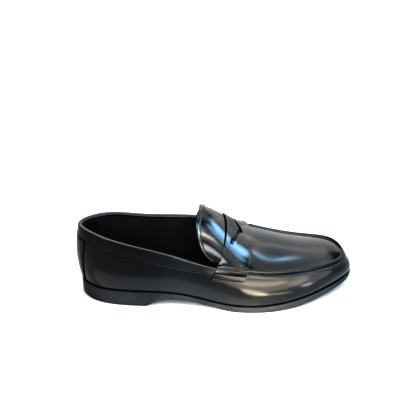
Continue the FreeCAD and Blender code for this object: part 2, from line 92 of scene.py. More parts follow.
# The collar band's width, from station 0 on
BAND_WIDTH = [12, 13, 14, 14.8, 14.2, 9.5]
# The seam's lip: the station where it begins, the stations over which it rises, and its height
THROAT, LIP_START, LIP = 5.13, 0.2, 2.7
# Step between stations, or shares across, for working out a direction
SLOPE_STEP = 1e-3


class Fair:
    """A smooth curve (uniform cubic B-spline) through points, one per whole number."""

    def __init__(self, points, closed):
        points = np.array(points, float)
        points = points[:, None] if points.ndim == 1 else points
        n = self.n = len(points)
        self.closed = closed
        rows = np.zeros((n, n))
        for i in range(n):
            if closed or 0 < i < n - 1:
                for step, weight in ((-1, 1 / 6), (0, 4 / 6), (1, 1 / 6)):
                    rows[i, (i + step) % n] += weight
            else:
                rows[i, i] = 1
        poles = np.linalg.solve(rows, points)
        if closed:
            self.poles = np.vstack([poles[-1:], poles, poles[:2]])
        else:
            self.poles = np.vstack([2 * poles[0] - poles[1], poles, 2 * poles[-1] - poles[-2]])

    def __call__(self, t):
        t = np.asarray(t, float)
        t = np.mod(t, self.n) if self.closed else t
        i = np.clip(np.floor(t).astype(int), 0, self.n - (1 if self.closed else 2))
        f = (t - i)[..., None]
        weights = ((1 - f) ** 3, 3 * f**3 - 6 * f**2 + 4, -3 * f**3 + 3 * f**2 + 3 * f + 1, f**3)
        return sum(w * self.poles[i + k] for k, w in enumerate(weights)) / 6


def height_curve(points, samples=2500):
    """A rule from x to z through (x, z) points."""
    curve = Fair(points, False)(np.linspace(0, len(points) - 1, samples))
    return lambda x: np.interp(x, curve[:, 0], curve[:, 1])


feather_height = height_curve(FEATHER_HEIGHT)
sole_bottom = height_curve(SOLE_BOTTOM)
top_loop, feather_loop = Fair(TOP_EDGE, True), Fair(FEATHER, True)
bulge_at, arch_top_at = Fair(BULGE, True), Fair(ARCH_TOP, False)
inset_at, band_width_at = Fair(INSET, False), Fair(BAND_WIDTH, False)
UP = np.array([0.0, 0.0, 1.0])


def unit(v):
    return v / np.maximum(np.linalg.norm(v, axis=-1, keepdims=True), 1e-12)


def ridge(x, middle, width):
    """A rounded ridge: 1 at its middle and near 0 two widths away."""
    return np.exp(-((x - middle) / width) ** 2)


def ease(share):
    """A soft step from 0 to 1."""
    share = np.clip(share, 0, 1)
    return share * share * (3 - 2 * share)


def outward(loop, t):
    """The level direction away from the shoe at a station of a closed curve."""
    d = loop(t + SLOPE_STEP) - loop(t - SLOPE_STEP)
    return unit(np.stack([d[..., 1], -d[..., 0], np.zeros_like(d[..., 0])], -1))


def feather_point(t, out=0.0):
    """A point of the feather line, moved outwards."""
    p = feather_loop(t)
    base = np.concatenate([p, feather_height(p[..., 0])[..., None]], -1)
    return base + outward(feather_loop, t) * np.asarray(out)[..., None]


def bezier(p0, p1, p2, p3, v):
    v = np.asarray(v)[..., None]
    u = 1 - v
    return p0 * u**3 + p1 * (3 * u * u * v) + p2 * (3 * u * v * v) + p3 * v**3


def wall(t, v):
    """The side of the shoe: v runs from 0 at the feather line to 1 at the top edge."""
    low, high = feather_point(t), top_loop(t)
    rise = ((high[..., 2] - low[..., 2]) / 3)[..., None] * UP
    bulge = bulge_at(t)
    return bezier(low, low + rise + outward(feather_loop, t) * bulge,
                  high - rise + outward(top_loop, t) * bulge, high, v)


def mirrored(t):
    """The station counted from the centre back, whichever side it is on."""
    t = np.mod(t, STATIONS)
    return np.minimum(t, STATIONS - t)


def apron_edge(t):
    return top_loop(t) - outward(top_loop, t) * inset_at(mirrored(t) - TOP_START)


def top(t, v):
    """The arched top from the tongue to the toe: v runs from the outer side to the inner side."""
    low, high = apron_edge(t), apron_edge(STATIONS - t)
    across = (high - low) * np.array([1.0, 1.0, 0.0])
    arch = arch_top_at(t - TOP_START)
    return bezier(low, low + across * arch[..., 2:3] + UP * arch[..., 0:1],
                  high - across * arch[..., 3:4] + UP * arch[..., 1:2], high, v)


def normal(surface, t, v):
    along = surface(t + SLOPE_STEP, v) - surface(t - SLOPE_STEP, v)
    across = surface(t, v + SLOPE_STEP) - surface(t, v - SLOPE_STEP)
    return unit(np.cross(along, across))


def raised(surface, t, v, out):
    return surface(t, v) + normal(surface, t, v) * np.asarray(out)[..., None]


def wall_height(t):
    return top_loop(t)[..., 2] - feather_height(feather_loop(t)[..., 0])


def below_top(t, drop):
    """The wall's share at a drop in mm below its top edge."""
    return 1 - drop / wall_height(t)


# ------------------------------------------------------------------ meshes from grids of points
# An edge that turns more than this many radians is shaded sharp
SHARP_ANGLE = 0.9


def finish_mesh(name, verts, faces, material):
    """A smooth-shaded piece from points in mm and faces of one size."""
    mesh = bpy.data.meshes.new(name)
    verts = (np.asarray(verts, float).reshape(-1, 3) - SHIFT) * 0.001
    faces = np.asarray(faces, np.int32)
    mesh.vertices.add(len(verts))
    mesh.vertices.foreach_set("co", verts.ravel())
    mesh.loops.add(faces.size)
    mesh.loops.foreach_set("vertex_index", faces.ravel())
    mesh.polygons.add(len(faces))
    mesh.polygons.foreach_set("loop_start", np.arange(0, faces.size, faces.shape[1], dtype=np.int32))
    mesh.polygons.foreach_set("use_smooth", np.ones(len(faces), bool))
    mesh.update(calc_edges=True)
    mesh.validate()
    mesh.materials.append(material)
    piece = bpy.data.objects.new(name, mesh)
    bpy.context.scene.collection.objects.link(piece)
    return piece


def edit(piece, *changes):
    """Makes changes to a piece's mesh, one after the other."""
    bm = bmesh.new()
    bm.from_mesh(piece.data)
    for change in changes:
        change(bm)
    bm.to_mesh(piece.data)
    bm.free()
    return piece


def mark_sharp(bm):
    for edge in bm.edges:
        if len(edge.link_faces) == 2 and edge.calc_face_angle(0) > SHARP_ANGLE:
            edge.smooth = False


def fill_ends(bm):
    bmesh.ops.holes_fill(bm, edges=[edge for edge in bm.edges if edge.is_boundary])


def join_doubles(bm):
    bmesh.ops.remove_doubles(bm, verts=bm.verts, dist=2e-5)


def turn_outwards(bm):
    bmesh.ops.recalc_face_normals(bm, faces=bm.faces)


def quads(rows, columns, wrap_rows=False, wrap_columns=False, start=0):
    """Faces of a grid of points, numbered row by row."""
    i = np.arange(rows if wrap_rows else rows - 1)[:, None]
    j = np.arange(columns if wrap_columns else columns - 1)[None, :]
    i2, j2 = (i + 1) % rows, (j + 1) % columns
    corners = [i * columns + j, i2 * columns + j, i2 * columns + j2, i * columns + j2]
    return np.stack([c + 0 * (i + j) for c in corners], -1).reshape(-1, 4) + start


def steps(length, step, edge=0.4):
    """Shares from 0 to 1 along a length in mm: even steps, with closer lines at both rounded edges."""
    near = edge * np.array([0, 0.06, 0.25, 0.55, 1.0, 1.8])
    inner = np.arange(near[-1] + step, length - near[-1] - step / 2, step)
    places = np.concatenate([near, inner, length - near])
    places = np.unique(np.round(places[(places >= 0) & (places <= length)], 4))
    keep = np.concatenate([[True], np.diff(places) > 0.02])
    return places[keep] / length


def path_lengths(points, axis):
    """The length in mm walked up to each point of a path."""
    run = np.linalg.norm(np.diff(points, axis=axis), axis=-1)
    zero = np.zeros_like(np.take(run, [0], axis))
    return np.concatenate([zero, np.cumsum(run, axis)], axis)


def read_off(places, run, values):
    """Rows of values along a path, read between its points at the given places."""
    return np.stack([np.interp(places, run, column) for column in values.T], -1)


def rounding(distance, radius):
    """How far a rounded edge lies under the full height, at a distance from the edge."""
    inside = np.clip(1 - distance / radius, 0, 1)
    return radius * (1 - np.sqrt(np.clip(1 - inside**2, 0, 1)))


def slab(name, place, u, v, inner, outer, material, edge=0.4, relief=None, round_ends=True):
    """A leather panel with rounded edges, between two distances from the last.

    place(U, V, out) gives points in mm, and relief(U, V, base) adds height to the outer face.
    """
    U, V = np.meshgrid(u, v, indexing="ij")
    base = place(U, V, np.full(U.shape, outer))
    along, across = path_lengths(base, 0), path_lengths(base, 1)
    distance = np.minimum(across, across[:, -1:] - across)
    if round_ends:
        distance = np.minimum(distance, np.minimum(along, along[-1:] - along))
    height = outer - rounding(distance, edge)
    if relief is not None:
        height = height + relief(U, V, base)
    low = inner + rounding(distance, edge * 0.5)
    both = np.stack([place(U, V, height), place(U, V, low)])
    rows, columns = U.shape
    count = rows * columns
    index = np.arange(count).reshape(rows, columns)
    rim = np.concatenate([index[0, :-1], index[:-1, -1], index[-1, :0:-1], index[:0:-1, 0]])
    rim_next = np.roll(rim, -1)
    sides = np.stack([rim, rim_next, rim_next + count, rim + count], -1)
    faces = np.vstack([quads(rows, columns), quads(rows, columns, start=count)[:, ::-1], sides])
    return edit(finish_mesh(name, both, faces, material), mark_sharp, turn_outwards)


def sweep(name, rings, material):
    """A solid from rings of points: rings[i, j] is point j of the profile at place i along the path."""
    faces = quads(*rings.shape[:2], wrap_columns=True)
    return edit(finish_mesh(name, rings, faces, material), fill_ends, turn_outwards, mark_sharp)


# A stitch's bar: places along it from end to end, and its thickness there as a share of the thread's
BAR_SIDES = 8
BAR_PLACES = np.array([-1, -0.93, -0.75, -0.4, 0, 0.4, 0.75, 0.93, 1])
BAR_THICKNESS = np.array([0.12, 0.5, 0.82, 0.97, 1, 0.97, 0.82, 0.5, 0.12])


def stitches(name, seams, pitch, length, radius, material):
    """Sewn thread: one rounded bar per stitch along each seam, which is (points, normals)."""
    angle = np.arange(BAR_SIDES) * 2 * math.pi / BAR_SIDES
    bow = (1 - BAR_PLACES**2) * radius / 2
    bar = quads(len(BAR_PLACES), BAR_SIDES, wrap_columns=True)
    verts, faces = [], []
    for points, normals in seams:
        run = path_lengths(points, 0)
        places = np.arange(pitch / 2, run[-1], pitch)
        at = read_off(places, run, points)
        up = unit(read_off(places, run, normals))
        way = unit(read_off(places + 0.5, run, points) - read_off(places - 0.5, run, points))
        side = unit(np.cross(up, way))
        for p, n, w, s in zip(at, up, way, side):
            core = p + w * (BAR_PLACES * length / 2)[:, None] + n * bow[:, None]
            circle = np.cos(angle)[None, :, None] * s + np.sin(angle)[None, :, None] * n
            faces.append(bar + len(verts) * len(BAR_PLACES) * BAR_SIDES)
            verts.append((core[:, None, :] + circle * (BAR_THICKNESS * radius)[:, None, None]).reshape(-1, 3))
    return finish_mesh(name, np.array(verts), np.vstack(faces), material)


# ------------------------------------------------------------------ materials
# A noise texture's values seldom leave this range
NOISE_LOW, NOISE_HIGH = 0.3, 0.7


def material(name, color, rough, bumps=(), metallic=0.0, sheen=0.0, specular=0.5, rough_noise=(60.0, 0.08),
             tint=(40.0, 0.25)):
    """A procedural surface.

    bumps are (kind, scale per metre, strength, distance in mm). rough_noise and tint are the scale and the
    amount of the roughness's and the colour's unevenness.
    """
    made = bpy.data.materials.new(name)
    made.use_nodes = True
    nodes, links = made.node_tree.nodes, made.node_tree.links
    shader = nodes["Principled BSDF"]
    shader.inputs["Metallic"].default_value = metallic
    shader.inputs["Sheen Weight"].default_value = sheen
    shader.inputs["Specular IOR Level"].default_value = specular
    place = nodes.new("ShaderNodeTexCoord").outputs["Object"]

    def noise(scale, detail=4.0, roughness=0.55):
        texture = nodes.new("ShaderNodeTexNoise")
        texture.inputs["Scale"].default_value = scale
        texture.inputs["Detail"].default_value = detail
        texture.inputs["Roughness"].default_value = roughness
        links.new(place, texture.inputs["Vector"])
        return texture.outputs["Fac"]

    def spread_to(value, low, high, socket):
        ranger = nodes.new("ShaderNodeMapRange")
        ranger.inputs["From Min"].default_value = NOISE_LOW
        ranger.inputs["From Max"].default_value = NOISE_HIGH
        ranger.inputs["To Min"].default_value = low
        ranger.inputs["To Max"].default_value = high
        links.new(value, ranger.inputs["Value"])
        links.new(ranger.outputs["Result"], socket)

    mix = nodes.new("ShaderNodeMix")
    mix.data_type = "RGBA"
    mix.inputs["A"].default_value = (*[c * (1 - tint[1]) for c in color], 1)
    mix.inputs["B"].default_value = (*[min(1, c * (1 + tint[1])) for c in color], 1)
    spread_to(noise(tint[0]), 0, 1, mix.inputs["Factor"])
    links.new(mix.outputs["Result"], shader.inputs["Base Color"])
    spread_to(noise(rough_noise[0], 5.0), rough - rough_noise[1] / 2, rough + rough_noise[1] / 2,
              shader.inputs["Roughness"])
    last = None
    for kind, scale, strength, distance in bumps:
        if kind == "noise":
            height = noise(scale, 3.0)
        else:
            cells = nodes.new("ShaderNodeTexVoronoi")
            cells.inputs["Scale"].default_value = scale
            links.new(place, cells.inputs["Vector"])
            height = cells.outputs["Distance"]
        bump = nodes.new("ShaderNodeBump")
        bump.inputs["Strength"].default_value = strength
        bump.inputs["Distance"].default_value = distance * 0.001
        links.new(height, bump.inputs["Height"])
        if last:
            links.new(last, bump.inputs["Normal"])
        last = bump.outputs["Normal"]
    if last:
        links.new(last, shader.inputs["Normal"])
    return made


CALF = material("polished_calf", (0.006, 0.006, 0.0062), 0.18, specular=0.40,
                bumps=[("noise", 45, 0.25, 0.5), ("cells", 1500, 0.10, 0.08), ("noise", 3500, 0.15, 0.03)])
TRIM = material("trim_calf", (0.008, 0.008, 0.0082), 0.22, specular=0.42,
                bumps=[("noise", 60, 0.25, 0.4), ("cells", 1500, 0.12, 0.08), ("noise", 3500, 0.15, 0.03)])
LINING = material("lining_leather", (0.030, 0.029, 0.029), 0.55, specular=0.35,
                  bumps=[("noise", 90, 0.3, 0.3), ("cells", 1200, 0.2, 0.1)])
SUEDE = material("suede", (0.008, 0.008, 0.008), 0.9, sheen=0.05, specular=0.1,
                 bumps=[("noise", 2500, 0.6, 0.15), ("noise", 300, 0.3, 0.2)])
THREAD = material("waxed_thread", (0.016, 0.016, 0.017), 0.45,
                  bumps=[("noise", 4000, 0.5, 0.1)])
RUBBER = material("sole_rubber", (0.026, 0.026, 0.027), 0.62, specular=0.4,
                  bumps=[("noise", 1800, 0.25, 0.08), ("noise", 120, 0.15, 0.2)], rough_noise=(30, 0.12))
STIFF = material("stiffener_board", (0.50, 0.45, 0.37), 0.85, bumps=[("noise", 1500, 0.5, 0.15)])
FIBRE = material("insole_fibre", (0.55, 0.43, 0.29), 0.88, bumps=[("noise", 1200, 0.5, 0.2)])
STEEL = material("spring_steel", (0.42, 0.42, 0.43), 0.32, metallic=1.0, bumps=[("noise", 900, 0.2, 0.03)])
CORK = material("ground_cork", (0.45, 0.29, 0.16), 0.9, tint=(500, 0.5), bumps=[("cells", 500, 0.6, 0.4)])
FOAM = material("open_foam", (0.07, 0.07, 0.07), 0.95, bumps=[("cells", 1500, 0.7, 0.3)])

# ------------------------------------------------------------------ the upper's layers
# Distances from the last's surface, which is the skirt's outer face
SKIRT_IN, LINING_OUT, LINING_IN = -1.3, -2.4, -3.3


def on(surface, t0, t1, v0, v1):
    """Places a panel between stations t0 and t1, and shares across v0 and v1; v1 can be a rule of t."""

    def place(U, V, out):
        t = t0 + (t1 - t0) * U
        high = v1(t) if callable(v1) else v1
        return raised(surface, t, v0 + (high - v0) * V, out)

    return place


def loop_lines(t0, t1, step_at, samples=6000):
    """Shares from t0 to t1 whose spacing along the top edge follows step_at(t), in mm."""
    dense = np.linspace(t0, t1, samples)
    run = path_lengths(top_loop(dense), 0)
    count = np.concatenate([[0], np.cumsum(np.diff(run) / step_at((dense[1:] + dense[:-1]) / 2))])
    return np.interp(np.linspace(0, count[-1], int(count[-1]) + 1), count, np.linspace(0, 1, samples))


def even_step(step):
    return lambda t: np.full(t.shape, step)


# The moccasin seam has a stitch at every pleat
PLEAT = 3.9
seam_dense = np.linspace(0, STATIONS, 8001)
seam_run = path_lengths(top_loop(seam_dense), 0)


def pleat(t):
    """1 where the leather puffs out between two stitches of the moccasin seam, 0 at a stitch."""
    run = np.interp(np.mod(t, STATIONS), seam_dense, seam_run)
    wobble = 0.35 * np.sin(run * 0.37) + 0.25 * np.sin(run * 0.83 + 1)
    return np.abs(np.sin(math.pi * (run + wobble) / PLEAT)) ** 0.7


def lip_share(t):
    """0 behind the throat, 1 where the seam's lip is full."""
    return ease((mirrored(t) - THROAT) / LIP_START)


def inner_side(t):
    """0 on the outer side and round the toe, 1 on the inner side."""
    return ease((np.mod(t, STATIONS) - 10.5) / 2)


def lip_height(t):
    """How far the lip stands up: lower under the strap and on the inner side."""
    under_strap = 1 - ease((mirrored(t) - 5.95) / 0.25)
    return (LIP - 0.6 * under_strap) * (1 - (0.35 + 0.4 * under_strap) * inner_side(t))


def band_low(t):
    """The wall's share at the collar band's lower edge."""
    return below_top(t, band_width_at(mirrored(t))[..., 0])


# The skirt's rows: mm below the top edge, shares of the wall left under them, and shares of the lip's height
TOP_ROWS = np.concatenate([np.arange(0.0, 3.0, 0.25), np.arange(3.0, 9.1, 0.5)])
LOW_ROWS = np.linspace(0, 1, 30)[:-1]
LIP_ROWS = np.array([0.15, 0.35, 0.6, 0.8, 0.92, 1.0])
# Stations left open at the centre back, the share left open at the feather line, and how far the edge behind
# the throat lies below the top edge
BACK_GAP, FEATHER_GAP, REAR_DROP = 0.01, 0.004, 1.7


def seam_relief(depth, puff):
    """The wall's shape beside the moccasin seam: a groove for the thread and a shoulder with puckers."""
    groove = -1.05 * ridge(depth, 0.7, 0.9)
    shoulder = (0.25 + 0.55 * puff) * ridge(depth, 2.9, 1.2)
    pull = -0.15 * (1 - puff) * np.exp(-depth / 4)
    return groove + shoulder + pull


def skirt_lip(t, share):
    """The lip's outer and inner face at the stations t, in rows from its foot to its top."""
    edge, away = top_loop(t), outward(top_loop, t)
    rise = lip_height(t) * share * LIP_ROWS
    rolled = np.maximum(LIP_ROWS - 0.8, 0) / 0.2
    lean = -0.35 - 0.25 * LIP_ROWS + 0.12 * pleat(t)
    outer = edge + away * (share * (lean - 0.35 * rolled))[..., None] + UP * rise[..., None]
    lean_inside = share * (-1.15 - 0.25 * LIP_ROWS) - (1 - share) * 1.3
    inner = edge + away * lean_inside[..., None] + UP * (rise - share * 0.12 * rolled)[..., None]
    return outer, inner


def skirt_step(t):
    """The skirt's columns of points stand close where the seam puckers it."""
    return np.where(mirrored(t) > 4.8, 0.45, 1.4)


def build_skirt():
    u = loop_lines(BACK_GAP, STATIONS - BACK_GAP, skirt_step)
    t = (BACK_GAP + (STATIONS - 2 * BACK_GAP) * u)[:, None]
    share = lip_share(t)
    v_top = below_top(t, TOP_ROWS[::-1] + (1 - share) * REAR_DROP)
    v_low = FEATHER_GAP + (v_top[:, :1] - FEATHER_GAP) * LOW_ROWS
    v = np.concatenate([v_low, v_top], 1)
    T = np.broadcast_to(t, v.shape)
    outer = raised(wall, T, v, share * seam_relief((1 - v) * wall_height(T), pleat(T)))
    inner = raised(wall, T, v, np.full(v.shape, SKIRT_IN))
    lip_outer, lip_inner = skirt_lip(t, share)
    no_lip = (share < 0.02)[..., None]
    middle = (outer[:, -1:] + inner[:, -1:]) / 2
    lip = np.where(no_lip, middle, np.concatenate([lip_outer, lip_inner[:, ::-1]], 1))
    return sweep("skirt_leather", np.concatenate([outer, lip, inner[:, ::-1]], 1), CALF)


skirt = build_skirt()


def gap_to(points, line):
    """Distance of each point to the nearest of a line's points."""
    tree = KDTree(len(line))
    for i, p in enumerate(line):
        tree.insert(p, i)
    tree.balance()
    flat = points.reshape(-1, 3)
    return np.array([tree.find(p)[2] for p in flat]).reshape(points.shape[:-1])


# The apron: the top piece in front of the strap, its edge turned up against the skirt's lip
APRON_REAR, APRON_FRONT = 5.55, 9.955
APRON_RIM = apron_edge(np.linspace(5.3, STATIONS - 5.3, 1500))


def build_apron():
    border = 0.07
    u = np.concatenate([np.linspace(0, 1 - border, 190)[:-1], np.linspace(1 - border, 1, 36)])
    near = np.linspace(0, border, 22)
    w = np.concatenate([near[:-1], np.linspace(border, 1 - border, 60)[:-1], 1 - near[::-1]])
    U, W = np.meshgrid(u, w, indexing="ij")
    T = APRON_REAR + (APRON_FRONT - APRON_REAR) * U
    gap = gap_to(top(T, W), APRON_RIM)
    side = np.where(W < 0.5, T, STATIONS - T)
    turned_up = 0.78 * lip_height(side) * ridge(gap, 0, 1.1) + 0.22 * pleat(side) * ridge(gap, 1.6, 1.2)

    def place(U, W, out):
        return raised(top, T, W, out) + UP * turned_up[..., None]

    return slab("apron_leather", place, u, w, SKIRT_IN, 0.0, CALF, edge=0.3)


apron = build_apron()

# ------------------------------------------------------------------ the penny strap
# Distances of its two faces from the surface under it
STRAP_IN, STRAP_OUT = 0.45, 1.85
# Shares across of the rows that hold the tabs down, at each end
STRAP_SEAMS = (0.025, 0.112)
strap_share = np.linspace(0, 1, 241)
# The slot's chevron, seen from above
SLOT = np.array([(165.4, -21.5), (176.2, 2.0), (168.0, 19.5)])
slot_share = np.linspace(0, 2, 61)
slot_curve = read_off(slot_share, (0, 1, 2), SLOT)


def through(points, count, samples=1200):
    """Evenly spaced points on a smooth curve through the given ones."""
    s = path_lengths(points, 0)
    h = np.diff(s)
    n = len(points)
    rows, side = np.eye(n), np.zeros_like(points)
    for i in range(1, n - 1):
        rows[i, i - 1:i + 2] = h[i - 1], 2 * (h[i - 1] + h[i]), h[i]
        side[i] = 6 * ((points[i + 1] - points[i]) / h[i] - (points[i] - points[i - 1]) / h[i - 1])
    bend = np.linalg.solve(rows, side)
    x = np.linspace(0, s[-1], samples)
    i = np.clip(np.searchsorted(s, x) - 1, 0, n - 2)
    a, b, g = (s[i + 1] - x)[:, None], (x - s[i])[:, None], h[i][:, None]
    curve = (bend[i] * a**3 + bend[i + 1] * b**3) / (6 * g)
    curve = curve + (points[i] / g - bend[i] * g / 6) * a + (points[i + 1] / g - bend[i + 1] * g / 6) * b
    run = path_lengths(curve, 0)
    return read_off(np.linspace(0, run[-1], count), run, curve)


def strap_lift(t):
    """How far the strap is lifted by the seam's lip under it."""
    return lip_share(t) * (2.2 - 1.75 * inner_side(t)) + 0.4


def strap_side(t, tab_length):
    """Points up a tab from its free end, and round the seam's lip."""
    tab = [wall(t, below_top(t, tab_length * share)) for share in (1, 0.75, 0.5, 0.25)]
    away = outward(top_loop, t)
    centre = top_loop(t) - away * 1.1 + UP * (strap_lift(t) - 1.0)
    turn = [centre + 1.25 * (away * math.cos(a) + UP * math.sin(a)) for a in np.radians((0, 45, 90, 135))]
    return tab + turn


def strap_line(t):
    """The line under the strap at a station, from one tab to the other."""
    tab_length = 16.0 - 5.0 * (t - 5)
    middle = []
    for w in np.linspace(0.06, 0.94, 15):
        lift = 0.7 * strap_lift(t if w < 0.5 else STATIONS - t) * math.exp(-min(w, 1 - w) / 0.05)
        middle.append(top(t, w) + UP * lift)
    return np.array(strap_side(t, tab_length) + middle + strap_side(STATIONS - t, tab_length)[::-1])


def strap_folds(base):
    """How far the strap bulges and dips where it is sewn down over the seam's lip."""
    side = np.minimum(strap_share, 1 - strap_share)
    pucker = np.abs(np.sin(math.pi * path_lengths(base, 0) / PLEAT)) ** 0.7
    crest = 0.45 * pucker * ridge(side, 0.150, 0.012)
    tuck = -0.8 * ridge(side, 0.113, 0.014)
    shoulder = (0.42 + 0.08 * pucker) * ridge(side, 0.068, 0.022)
    return (crest + tuck + shoulder) * np.where(strap_share > 0.5, 0.4, 1.0)


def grid_normals(points):
    """The direction straight up from a grid of points, at each point."""
    return unit(np.cross(np.gradient(points, axis=0), np.gradient(points, axis=1)))


def build_strap(row_count=64, station_mm=36):
    """The strap's rows as shares, the surface under it with its normals, and its rear edge's stations."""
    stations = np.linspace(4.9, 6.15, 90)
    sections = np.array([through(strap_line(t), len(strap_share)) for t in stations])
    bow = np.sin(math.pi * strap_share)
    rear, front = 4.93 + 0.45 * bow**0.8, 5.86 + 0.26 * bow**0.6
    length = np.median(front - rear) * station_mm
    rows = steps(length, length / row_count, 0.45)
    place = (rear + (front - rear) * rows[:, None] - stations[0]) / (stations[1] - stations[0])
    i = np.clip(np.floor(place).astype(int), 0, len(stations) - 2)
    f = (place - i)[..., None]
    j = np.arange(len(strap_share))
    base = sections[i, j] * (1 - f) + sections[i + 1, j] * f
    base = base + grid_normals(base) * strap_folds(base)[..., None]
    return rows, base, grid_normals(base), rear


strap_rows, strap_base, strap_up, strap_rear = build_strap()
# Stations between the strap's rear edge and the ends of the collar, and the columns of points over a tab
STRAP_GAP, TAB_COLUMNS = 0.014, 40


def rear_rule(columns, side):
    """The strap's rear edge down one side, as a rule from mm below the top edge to the station."""
    t = strap_rear[columns]
    drop = top_loop(side * t)[:, 2] - strap_base[0, columns, 2]
    order = np.argsort(drop)
    return lambda depth: np.interp(depth, drop[order], t[order]) - STRAP_GAP


rear_outer = rear_rule(np.arange(TAB_COLUMNS), 1)
rear_inner = rear_rule(len(strap_share) - 1 - np.arange(TAB_COLUMNS), -1)


def strap_relief(U, V, base):
    """The strap sinks along its stitch rows and towards the slot."""
    side = np.minimum(V, 1 - V)
    groove = sum(ridge(side, row, 0.006) for row in STRAP_SEAMS)
    away = np.sqrt(((base[..., None, :2] - slot_curve) ** 2).sum(-1)).min(-1)
    return -0.28 * groove - 0.35 * ridge(away, 0, 1.5)


def strap_place(U, V, out):
    return strap_base + strap_up * np.asarray(out)[..., None]


strap = slab("penny_strap_leather", strap_place, strap_rows, strap_share, STRAP_IN, STRAP_OUT, CALF,
             edge=0.35, relief=strap_relief)


def cut_slot():
    """Cuts the slot out of the strap with an upright cutter, wider or narrower along the chevron."""
    half = np.interp(slot_share, (0, 0.1, 0.9, 1, 1.3, 1.9, 2), (0.75, 0.95, 1.1, 1.5, 1.75, 1.1, 0.3))
    reach = half[:, None] * np.array([1.0, 0.0])
    outline = np.vstack([slot_curve + reach, (slot_curve - reach)[::-1]])
    n = len(outline)
    below_strap, above_strap = 50.0, 110.0
    verts = np.vstack([np.column_stack([outline, np.full(n, z)]) for z in (below_strap, above_strap)])
    bm = bmesh.new()
    made = [bm.verts.new((v - SHIFT) * 0.001) for v in verts]
    bm.faces.new(made[:n][::-1])
    bm.faces.new(made[n:])
    for i in range(n):
        k = (i + 1) % n
        bm.faces.new([made[i], made[k], made[n + k], made[n + i]])
    bmesh.ops.recalc_face_normals(bm, faces=bm.faces)
    mesh = bpy.data.meshes.new("slot_cutter")
    bm.to_mesh(mesh)
    bm.free()
    cutter = bpy.data.objects.new("slot_cutter", mesh)
    bpy.context.scene.collection.objects.link(cutter)
    cut = strap.modifiers.new("slot", "BOOLEAN")
    cut.operation, cut.solver, cut.object = "DIFFERENCE", "EXACT", cutter
    bpy.context.view_layer.update()
    shaped = bpy.data.meshes.new_from_object(strap.evaluated_get(bpy.context.evaluated_depsgraph_get()))
    strap.modifiers.clear()
    strap.data = shaped
    bpy.data.objects.remove(cutter)


cut_slot()


def strap_seams():
    """Four rows of stitches: two across each tab."""
    seams = []
    for row in STRAP_SEAMS:
        for share in (row, 1 - row):
            j = int(round(share * (len(strap_share) - 1)))
            up = strap_up[2:-2, j]
            seams.append((strap_base[2:-2, j] + up * (STRAP_OUT - 0.12), up))
    return seams


strap_threads = stitches("strap_threads", strap_seams(), pitch=2.8, length=2.0, radius=0.33, material=THREAD)

# ------------------------------------------------------------------ the tongue
TONGUE_FRONT = 5.5
# The share across left free on each side, and the rim's width in stations
TONGUE_MARGIN, RIM_WIDTH = 0.02, 0.115
# The inner and outer face of a lining under the top
TOP_LINING = (LINING_OUT, SKIRT_IN - 0.2)


def tongue_rear(w):
    """The station of the tongue's rounded rear edge, at a share across."""
    return 4.98 - (0.43 - 0.11 * ease((w - 0.3) / 0.25)) * (1 - np.abs(2 * w - 1) ** 6) ** 0.6


def on_tongue(margin_rear, margin_side):
    def place(U, V, out):
        w = margin_side + (1 - 2 * margin_side) * V
        rear = tongue_rear(V) + margin_rear
        return raised(top, rear + (TONGUE_FRONT - rear) * U, w, out)

    return place


tongue_u = np.linspace(0, 1, 60)
tongue_v = (1 - np.cos(np.linspace(0, math.pi, 161))) / 2
tongue = slab("tongue_leather", on_tongue(0.01, TONGUE_MARGIN), tongue_u, tongue_v, SKIRT_IN, 0.0, CALF)
tongue_lining = slab("tongue_lining_leather", on_tongue(0.03, 0.04), tongue_u, tongue_v, *TOP_LINING, LINING)

# The section of the rim's binding, as (share of the rim's width, out)
RIM = [
    (1.0, 0.15), (1.0, 0.65), (0.95, 0.85), (0.8, 1.08), (0.5, 1.25), (0.2, 1.22), (0.0, 1.02),
    (-0.18, 0.65), (-0.32, 0.1), (-0.4, -0.55), (-0.41, -1.2), (-0.33, -1.8), (-0.18, -2.3), (0.05, -2.65),
    (0.5, -2.75), (0.9, -2.7), (0.95, -2.55), (0.9, -2.45), (0.3, -2.45), (0.02, -2.3), (-0.02, -1.4),
    (-0.02, 0.0), (0.1, 0.12),
]


def on_rim(b, share):
    """Stations and shares across of the rim, at a share along it and a share of its width."""
    t = tongue_rear(b) + RIM_WIDTH * share
    return t, np.broadcast_to(TONGUE_MARGIN + (1 - 2 * TONGUE_MARGIN) * b, t.shape)


def build_rim():
    section = np.array(RIM)
    t, w = on_rim(tongue_v[:, None], section[:, 0])
    rings = raised(top, t, w, np.broadcast_to(section[:, 1], t.shape))
    return sweep("tongue_binding_leather", rings, TRIM)


tongue_binding = build_rim()


def rim_seam():
    t, w = on_rim(tongue_v[4:-4], 0.82)
    return raised(top, t, w, np.full(t.shape, 1.0)), normal(top, t, w)


tongue_threads = stitches("tongue_threads", [rim_seam()], pitch=2.8, length=1.9, radius=0.3, material=THREAD)

# ------------------------------------------------------------------ collar, backstay and linings
# The collar band: its width beside the strap, its upper edge's drop below the top edge, its middle width,
# and the share across of its stitch row. The backstay: its width and the shares of its two rows.
BAND_END, BAND_DROP, BAND_SPAN, BAND_ROW = 10.0, 1.4, 13, 0.12
BACKSTAY_SPAN, BACKSTAY_ROWS = 26, (0.06, 0.94)
# Width in mm of the groove that a row of stitches pulls into the leather
STITCH_GROOVE = 0.7
band_u = loop_lines(-5, 5, even_step(1.4))


def lining_top(t):
    """The linings end lower in front of the throat, under the apron's edge."""
    return below_top(t, 1.8 + 2.2 * lip_share(t))


def round_opening(share, depth):
    """Stations round the opening, from the strap's inner tab at share 0 to its outer tab at share 1."""
    span = 2 * share - 1
    return span * np.where(span > 0, rear_outer(depth), rear_inner(depth))


